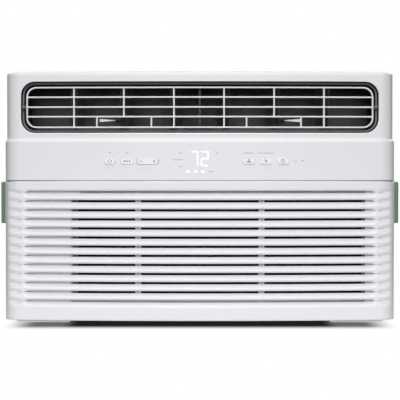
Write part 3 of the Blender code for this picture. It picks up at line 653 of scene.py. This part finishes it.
def make_louver():
    """White ring with three bars, crossed by posts, and the two pins that it tilts on."""
    half, low, high, radius = LOUVER
    near, far = LOUVER_INSET
    line = LOUVER_LINE / 2
    parts = [sweep(ring_path(half - line, low + line, high - line, radius - line), True, line,
                   LOUVER_INSET)]
    steps = 48
    for z in LOUVER_BARS:
        path = [((half - line) * (2 * step / steps - 1), z, 0, 1) for step in range(steps + 1)]
        parts.append(sweep(path, False, line, (near + 0.0004, far - 0.0006)))
    lowest_bar = min(LOUVER_BARS)
    posts = [(POST_X[0], low, high), (POST_X[1], lowest_bar, high), (POST_X[2], low, high)]
    posts += [(x, low, lowest_bar) for x in SHORT_POST_X]
    for side in (-1, 1):
        for x, bottom, top in posts:
            x = side * x + POST_SHIFT
            path = [(x, bottom + 0.001, 1, 0), (x, top - 0.001, 1, 0)]
            parts.append(sweep(path, False, 0.0010, (near + 0.0010, far - 0.0010), 0.0004))
    points, faces = gather(parts)
    add_piece("louver_ring", new_mesh("louver_ring", points, faces, 50), "white_plastic", "louver",
              ["louver_frame"], LOUVER_WHITE)
    make_outlet_band()
    make_outlet_lip()
    middle = (low + high) / 2
    pins = []
    for side in (-1, 1):
        pins.append(((side * (half - 0.001), LOUVER_PIVOT_Y, middle),
                     (side * LOUVER_HIGH.x, LOUVER_PIVOT_Y, middle), 0.0022))
    pin = add_piece("louver_pins", rod_mesh("louver_pins", pins, 24), "dark_plastic", "louver")
    round_edges(pin, 0.0004, 2)


def make_outlet_lip():
    """Lip round the lower half of the outlet, whiter than the panel: a painted highlight where its
    upward-facing edge catches light from above.
    """
    half, low, high, radius = OUTLET
    out = 0.0009
    ring = ring_path(half + out, low - out, high + out, radius + out)
    path = [place for place in ring if place[1] < (low + high) / 2]
    points, faces = sweep(path, False, 0.0010, (STEP_IN - 0.0005, STEP_IN + 0.0015), 0.0004)
    add_piece("outlet_lip", new_mesh("outlet_lip", points, faces, 50), "white_plastic",
              look=LIP_HIGHLIGHT_WHITE)


def make_outlet_band():
    """Raised band in the gap between the outlet's edge and the louvre, coloured grey: painted sheen on the
    curved black bezel there.
    """
    half, low, high, radius = OUTLET
    inset = 0.0024
    points, faces = sweep(ring_path(half - inset, low + inset, high - inset, radius - inset), True,
                          0.0012, (0.0105, 0.0200))
    add_piece("outlet_band", new_mesh("outlet_band", points, faces, 50), "dark_plastic",
              look=BEZEL_SHEEN_GREY)


def make_lever_tabs():
    """White finger tabs that cap the levers of the two middle vanes."""
    for side, name in ((-1, "left"), (1, "right")):
        pivot = Vector((side * VANE_X, VANE_Y, TAB_Z))
        outline = [(-0.0108, -0.0005), (0.0108, -0.0019), (0.0108, 0.0019), (-0.0108, 0.0002)]
        mesh = prism("lever_tab_" + name, [(x * side, z) for x, z in outline], *TAB_REACH)
        mesh.transform(Matrix.Translation(pivot) @ Matrix.Rotation(side * VANE_TURN, 4, "Z"))
        tab = add_piece("lever_tab_" + name, mesh, "white_plastic", "vane_{}_2".format(name))
        round_edges(tab, 0.0005, 3)


# ---------------------------------------------------------------- buttons and markings
MARK_PROUD = 0.00006
MARK_SUNK = 0.0002


def bar(x0, z0, x1, z1, width):
    """Outline of a straight stroke with round ends."""
    along = Vector((x1 - x0, z1 - z0))
    angle = math.atan2(along.y, along.x)
    points = []
    for x, z, first in ((x1, z1, -90), (x0, z0, 90)):
        for step in range(7):
            turn = angle + math.radians(first + 30 * step)
            points.append((x + width / 2 * math.cos(turn), z + width / 2 * math.sin(turn)))
    return points


def arc(x, z, radius, width, first=0, last=359.5, steps=28):
    """Outline of a stroke along an arc, or a whole ring with a hair's gap."""
    points = []
    for reach, way in ((radius + width / 2, 1), (radius - width / 2, -1)):
        for step in range(steps + 1)[::way]:
            angle = math.radians(first + (last - first) * step / steps)
            points.append((x + reach * math.cos(angle), z + reach * math.sin(angle)))
    return points


def disc(x, z, radius):
    return [(x + radius * math.cos(math.pi * step / 12), z + radius * math.sin(math.pi * step / 12))
            for step in range(24)]


def decal_mesh(name, outlines, front_of):
    """Flat marks laid on a surface whose depth is front_of(x)."""
    points, faces = [], []
    for outline in outlines:
        start, count = len(points), len(outline)
        for depth in (-MARK_PROUD, MARK_SUNK):
            points += [(x, front_of(x) + depth, z) for x, z in outline]
        faces.append(tuple(range(start, start + count)))
        faces.append(tuple(range(start + 2 * count - 1, start + count - 1, -1)))
        for index in range(count):
            after = (index + 1) % count
            faces.append((start + index, start + after, start + count + after,
                          start + count + index))
    return new_mesh(name, points, faces, 30)


def button_marks(node, x, z):
    """A small pictogram for each button, in place of words."""
    if node == "power_button":
        return [arc(x, z, 0.0022, 0.0005, 125, 415), bar(x, z + 0.0010, x, z + 0.0028, 0.0005)]
    if node == "mode_button":
        return [disc(x + step * 0.0030, z, 0.0009) for step in (-1, 0, 1)]
    if node == "temperature_rocker":
        return [bar(x - 0.0096, z, x - 0.0072, z, 0.0007), bar(x + 0.0068, z, x + 0.0092, z, 0.0007),
                bar(x + 0.0080, z - 0.0012, x + 0.0080, z + 0.0012, 0.0007)]
    if node == "fan_button":
        marks = [disc(x, z, 0.0005)]
        for turn in (90, 210, 330):
            angle = math.radians(turn)
            marks.append(arc(x + 0.0017 * math.cos(angle), z + 0.0017 * math.sin(angle), 0.0009,
                             0.0005, steps=16))
        return marks
    if node == "eco_button":
        return [arc(x - 0.0012, z - 0.0012, 0.0030, 0.0006, 0, 90),
                arc(x + 0.0018, z + 0.0018, 0.0030, 0.0006, 180, 270)]
    return [arc(x, z, 0.0023, 0.0005), bar(x, z, x, z + 0.0014, 0.0005),
            bar(x, z, x + 0.0011, z, 0.0005)]


def make_buttons():
    """Each button's cap fills its node's box and carries its pictogram."""
    for node in BUTTON_NODES:
        low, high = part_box(node)
        x, z = (low.x + high.x) / 2, (low.z + high.z) / 2
        mesh = prism(node + "_cap", pill(low, high, 0), low.y, high.y)
        cap = add_piece(node + "_cap", mesh, "white_plastic", node, [node], BUTTON_WHITE)
        round_edges(cap, 0.0007, 4, 50)
        marks = decal_mesh(node + "_mark", button_marks(node, x, z), lambda at, y=low.y: y)
        add_piece(node + "_mark", marks, "dark_plastic", node, look=MARKING)


SEGMENTS = {"7": "abc", "2": "abged"}
DIGIT_Z = 0.2038
DIGIT_HEIGHT = 0.0172
DIGIT_STROKE = 0.0011
DOT_Z = 0.1878
DOT_X = (-0.0146, -0.0052, 0.0037)


def digit(symbol, x, width):
    """Seven-segment digit as a list of strokes."""
    w, h = width / 2, DIGIT_HEIGHT / 2
    lines = {"a": (-w, h, w, h), "b": (w, h, w, 0), "c": (w, 0, w, -h), "d": (-w, -h, w, -h),
             "e": (-w, 0, -w, -h), "f": (-w, h, -w, 0), "g": (-w, 0, w, 0)}
    outlines = []
    for name in SEGMENTS[symbol]:
        x0, z0, x1, z1 = lines[name]
        trim = DIGIT_STROKE * 0.25
        if z0 == z1:
            x0, x1 = x0 + trim, x1 - trim
        else:
            z0, z1 = z0 - trim, z1 + trim
        outlines.append(bar(x + x0, DIGIT_Z + z0, x + x1, DIGIT_Z + z1, DIGIT_STROKE))
    return outlines


def make_display():
    """Lit digits with three dots below them."""
    strokes = digit("7", -0.0064, 0.0072) + digit("2", 0.0060, 0.0080)
    for x in DOT_X:
        strokes.append(bar(x - 0.0008, DOT_Z, x + 0.0008, DOT_Z, 0.0022))
    add_piece("display_digits", decal_mesh("display_digits", strokes, bow_y), "white_plastic",
              look=GLOW)


def make_panel_markings():
    """Dashes, dots and rings on the control strip, where the real one has lettering."""
    marks = [disc(0.0112, DOT_Z, 0.0006)]
    for z, left in ((0.2106, -0.0262), (0.2024, -0.0330), (0.1938, -0.0262)):
        marks += dashes(left, -0.0216, z)
    marks += dashes(0.0128, 0.0160, DOT_Z)
    for left, right in ((0.0540, 0.0673), (0.0713, 0.0913)):
        marks += dashes(left, right, 0.2106)
    marks.append(arc(0.0214, 0.2110, 0.0011, 0.0003, steps=16))
    marks.append(disc(-0.1111, 0.2113, 0.0008))
    marks.append(arc(-0.0900, 0.2113, 0.0009, 0.0004, steps=16))
    marks.append(arc(0.1180, BUTTON_MIDDLE, 0.0015, 0.0003, steps=16))
    for radius in (0.0009, 0.0019):
        marks.append(arc(0.1268, BUTTON_MIDDLE - 0.0006, radius, 0.0004, 20, 160, 10))
    add_piece("panel_markings", decal_mesh("panel_markings", marks, bow_y), "dark_plastic",
              look=LABEL_GREY)


def dashes(left, right, z):
    """A row of short dashes that stands for a line of lettering."""
    count = max(1, round((right - left) / 0.0024))
    pitch = (right - left) / count
    return [bar(left + pitch * step + 0.0004, z, left + pitch * (step + 1) - 0.0004, z, 0.0007)
            for step in range(count)]


# ---------------------------------------------------------------- coils
FIN_PITCH = 0.0020
FIN_SHEET = 0.00025
END_PLATE = 0.0012
BEND_ROOM = 0.010                 # between the right end plate and the end of the coil's box
PIPE_RISE = 0.021
PIPE_RADIUS = 0.00245


def make_coil(node, look, front_end, back_end):
    """Fins between two end plates, with the pipe bends showing past the right end plate."""
    low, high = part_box(node)
    spans = [((low.x, low.x + END_PLATE), (low.y, high.y), (low.z, high.z)),
             ((high.x - END_PLATE - BEND_ROOM, high.x - BEND_ROOM), (low.y, high.y),
              (low.z, high.z))]
    x = low.x + 0.003
    while x < high.x - 0.012:
        spans.append(((x, x + FIN_SHEET), (low.y + front_end, high.y - back_end),
                      (low.z + 0.001, high.z - 0.001)))
        x += FIN_PITCH
    add_piece(node + "_fins", box_mesh(node + "_fins", spans), "fin_aluminium", replaced=[node],
              look=look)
    inset = (high.y - low.y) / 3 * 0.8
    bends = []
    row = low.z + PIPE_RISE
    while row + PIPE_RISE < high.z - 0.006:
        for y in (low.y + inset, high.y - inset):
            bends.append(bend_mesh(high.x - 0.012, y, row, PIPE_RISE / 2))
        row += PIPE_RISE * 2
    points, faces = gather(bends)
    add_piece(node + "_bends", new_mesh(node + "_bends", points, faces, 50), "copper")


def bend_mesh(x, y, z, half):
    """One U bend: a half torus that opens to -X, as points and faces."""
    turns, sides = 12, 10
    points, faces = [], []
    for turn in range(turns + 1):
        angle = -math.pi / 2 + math.pi * turn / turns
        out = Vector((math.cos(angle), 0, math.sin(angle)))
        centre = Vector((x, y, z + half)) + Vector((out.x * 0.0075, 0, out.z * half))
        for side in range(sides):
            spin = 2 * math.pi * side / sides
            spot = centre + (out * math.cos(spin) + Vector((0, 1, 0)) * math.sin(spin)) * PIPE_RADIUS
            points.append(tuple(spot))
    for turn in range(turns):
        for side in range(sides):
            after = (side + 1) % sides
            low, high = turn * sides, (turn + 1) * sides
            faces.append((low + side, low + after, high + after, high + side))
    faces.append(tuple(range(sides)))
    faces.append(tuple(range(turns * sides, (turns + 1) * sides)))
    return points, faces


# ---------------------------------------------------------------- screws and shown CAD nodes
SIDE_SCREW_Y = (-0.150, 0.030, 0.200)
SIDE_SCREW_Z = (0.020, 0.285)
BACK_SCREW_X = 0.2225
BACK_SCREW_Z = (0.060, 0.150, 0.240)


def make_screws():
    """Hexagon-head sheet screws on the cabinet's sides and back."""
    side_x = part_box("cabinet")[1].x
    heads = []
    for side in (-1, 1):
        for y in SIDE_SCREW_Y:
            for z in SIDE_SCREW_Z:
                start = Vector((side * (side_x - 0.0005), y, z))
                heads.append((start, start + Vector((side * 0.0030, 0, 0)), 0.0040))
    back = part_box("rear_grille")[1].y
    for x in (-BACK_SCREW_X, BACK_SCREW_X):
        for z in BACK_SCREW_Z:
            heads.append((Vector((x, back - 0.0025, z)), Vector((x, back - 0.0002, z)), 0.0032))
    washers = [(start, start + (end - start) * 0.35, radius * 1.4) for start, end, radius in heads]
    mesh = rod_mesh("sheet_screws", heads, 6)
    screws = add_piece("sheet_screws", mesh, "steel")
    round_edges(screws, 0.0004, 2)
    add_piece("screw_washers", rod_mesh("screw_washers", washers, 24), "steel")


def finish_cad_nodes():
    """Every CAD node that still shows gets the material of its slot."""
    slots = {entry["node"]: entry["material_slot"] for entry in frame["record"]["subparts"]}
    for node, obj in frame["nodes"].items():
        if obj.hide_render:
            continue
        obj.data.materials.clear()
        obj.data.materials.append(LOOKS[slots[node]])


# ---------------------------------------------------------------- studio
FLOOR_NEAR = 0.50                 # what the floor gives back to the object, near it and far off
FLOOR_FAR = 0.15
GLOW_ACROSS = (0.22, 0.60)        # half widths and half lengths between which that falls off
GLOW_ALONG = (0.30, 1.60)
FLOOR_RADIUS = 30.0
SHADOW_ACROSS = (0.200, 0.242)    # half widths between which the contact shadow fades out
SHADOW_ALONG = (0.211, 0.266)     # the same along its length
SHADOW_MIDDLE = -0.032            # it reaches further in front than behind
SHADOW_CORE = (0.150, 0.172)      # half widths between which its darkest part ends
SHADOW_EDGE = 0.87                # how strong it is beyond its darkest part
SHADOW_COLOUR = (0.014, 0.014, 0.017, 1)
WHITE = (1, 1, 1, 1)
FILL_FRONT = 0.62                 # strength of the even light from front and back, and the sides
FILL_SIDE = 0.0
FILL_TURN = (0.0, 0.60)           # how far to the side a direction points where the first ends
SUNS = (                          # name, azimuth, elevation and spread in degrees, strength
    ("key_light", 0, 30, 24, 1.66),
    ("top_light", 0, 80, 12, 0.85),
    ("front_light", 0, 9, 16, 0.5),
    ("right_light", 152, 30, 30, 1.0),
    ("left_light", -152, 30, 30, 0.8),
)


def maths(nodes, links, operation, *sources):
    """A maths node over outputs of other nodes and plain numbers; returns its output."""
    made = nodes.new("ShaderNodeMath")
    made.operation = operation
    for index, source in enumerate(sources):
        if isinstance(source, float):
            made.inputs[index].default_value = source
        else:
            links.new(source, made.inputs[index])
    return made.outputs["Value"]


def fade(nodes, links, source, limits, beyond=0):
    """1 inside the first limit, `beyond` outside the second, of one coordinate's size."""
    size = maths(nodes, links, "ABSOLUTE", source)
    ramp = nodes.new("ShaderNodeMapRange")
    ramp.interpolation_type = "SMOOTHSTEP"
    ramp.inputs["From Min"].default_value, ramp.inputs["From Max"].default_value = limits
    ramp.inputs["To Min"].default_value = 1
    ramp.inputs["To Max"].default_value = beyond
    links.new(size, ramp.inputs["Value"])
    return ramp.outputs["Result"]


def studio_white():
    """Plain white floor with a soft contact shadow; it lights the object as a matt white board."""
    made = bpy.data.materials.new("studio_white")
    made.use_nodes = True
    nodes, links = made.node_tree.nodes, made.node_tree.links
    nodes.clear()
    place = nodes.new("ShaderNodeTexCoord")
    split = nodes.new("ShaderNodeSeparateXYZ")
    links.new(place.outputs["Object"], split.inputs["Vector"])
    across, along = split.outputs["X"], split.outputs["Y"]
    offset = maths(nodes, links, "SUBTRACT", along, SHADOW_MIDDLE)
    reach = maths(nodes, links, "MULTIPLY", fade(nodes, links, across, SHADOW_ACROSS),
                  fade(nodes, links, offset, SHADOW_ALONG))
    shadow = maths(nodes, links, "MULTIPLY", reach,
                   fade(nodes, links, across, SHADOW_CORE, SHADOW_EDGE))
    tone = nodes.new("ShaderNodeMix")
    tone.data_type = "RGBA"
    tone.inputs["A"].default_value = WHITE
    tone.inputs["B"].default_value = SHADOW_COLOUR
    links.new(shadow, tone.inputs["Factor"])
    shown = nodes.new("ShaderNodeEmission")
    links.new(tone.outputs["Result"], shown.inputs["Color"])
    near = maths(nodes, links, "MULTIPLY", fade(nodes, links, across, GLOW_ACROSS),
                 fade(nodes, links, along, GLOW_ALONG))
    level = nodes.new("ShaderNodeMapRange")
    level.inputs["To Min"].default_value = FLOOR_FAR
    level.inputs["To Max"].default_value = FLOOR_NEAR
    links.new(near, level.inputs["Value"])
    board = nodes.new("ShaderNodeEmission")
    links.new(level.outputs["Result"], board.inputs["Strength"])
    path = nodes.new("ShaderNodeLightPath")
    mix = nodes.new("ShaderNodeMixShader")
    out = nodes.new("ShaderNodeOutputMaterial")
    links.new(path.outputs["Is Camera Ray"], mix.inputs["Fac"])
    links.new(board.outputs["Emission"], mix.inputs[1])
    links.new(shown.outputs["Emission"], mix.inputs[2])
    links.new(mix.outputs["Shader"], out.inputs["Surface"])
    return made


def make_floor():
    mesh = bpy.data.meshes.new("studio_floor")
    build = bmesh.new()
    bmesh.ops.create_circle(build, cap_ends=True, segments=96, radius=FLOOR_RADIUS)
    build.to_mesh(mesh)
    build.free()
    floor = bpy.data.objects.new("studio_floor", mesh)
    bpy.context.scene.collection.objects.link(floor)
    mesh.materials.append(studio_white())


def make_world():
    """White behind the object, and a softer even light on it."""
    world = bpy.data.worlds.new("studio")
    bpy.context.scene.world = world
    world.use_nodes = True
    nodes, links = world.node_tree.nodes, world.node_tree.links
    nodes.clear()
    shades = [nodes.new("ShaderNodeBackground"), nodes.new("ShaderNodeBackground")]
    shades[1].inputs["Color"].default_value = WHITE
    place = nodes.new("ShaderNodeTexCoord")
    split = nodes.new("ShaderNodeSeparateXYZ")
    links.new(place.outputs["Generated"], split.inputs["Vector"])
    facing = fade(nodes, links, split.outputs["X"], FILL_TURN)
    level = nodes.new("ShaderNodeMapRange")
    level.inputs["To Min"].default_value = FILL_SIDE
    level.inputs["To Max"].default_value = FILL_FRONT
    links.new(facing, level.inputs["Value"])
    links.new(level.outputs["Result"], shades[0].inputs["Strength"])
    path = nodes.new("ShaderNodeLightPath")
    mix = nodes.new("ShaderNodeMixShader")
    out = nodes.new("ShaderNodeOutputWorld")
    links.new(path.outputs["Is Camera Ray"], mix.inputs["Fac"])
    links.new(shades[0].outputs["Background"], mix.inputs[1])
    links.new(shades[1].outputs["Background"], mix.inputs[2])
    links.new(mix.outputs["Shader"], out.inputs["Surface"])


def add_sun(name, azimuth, elevation, spread, strength):
    """A far light seen from the object at that azimuth (0 in front, 90 right) and elevation."""
    data = bpy.data.lights.new(name, "SUN")
    data.angle = math.radians(spread)
    data.energy = strength
    light = bpy.data.objects.new(name, data)
    around, up = math.radians(azimuth), math.radians(elevation)
    towards = Vector((math.sin(around) * math.cos(up), -math.cos(around) * math.cos(up), math.sin(up)))
    light.rotation_euler = towards.to_track_quat("Z", "Y").to_euler()
    bpy.context.scene.collection.objects.link(light)


CAMERA_DISTANCE = 2.3
CAMERA_HEIGHT = 0.205
CAMERA_X = 0.0002
VIEW_WIDTH = 0.4937               # what the picture spans at the front's plane
AIM_HEIGHT = 0.1527


def make_camera():
    """Far in front and a little above the middle, so that the view is almost square on."""
    data = bpy.data.cameras.new("camera")
    data.sensor_width = 36
    data.lens = data.sensor_width * CAMERA_DISTANCE / VIEW_WIDTH
    camera = bpy.data.objects.new("camera", data)
    camera.location = (CAMERA_X, FRONT_Y - CAMERA_DISTANCE, CAMERA_HEIGHT)
    aim = Vector((CAMERA_X, FRONT_Y, AIM_HEIGHT)) - camera.location
    camera.rotation_euler = aim.to_track_quat("-Z", "Y").to_euler()
    bpy.context.scene.collection.objects.link(camera)
    bpy.context.scene.camera = camera


def main():
    bpy.context.scene.view_settings.view_transform = "Standard"
    make_camera()
    make_world()
    for sun in SUNS:
        add_sun(*sun)
    make_floor()
    make_front_panel()
    make_intake_grille()
    make_louver()
    make_lever_tabs()
    make_buttons()
    make_display()
    make_panel_markings()
    make_coil("evaporator_coil", COIL_BLACK, 0.0015, 0.0005)
    make_coil("condenser_coil", LOOKS["fin_aluminium"], 0.0005, 0.0015)
    make_screws()
    finish_cad_nodes()


main()
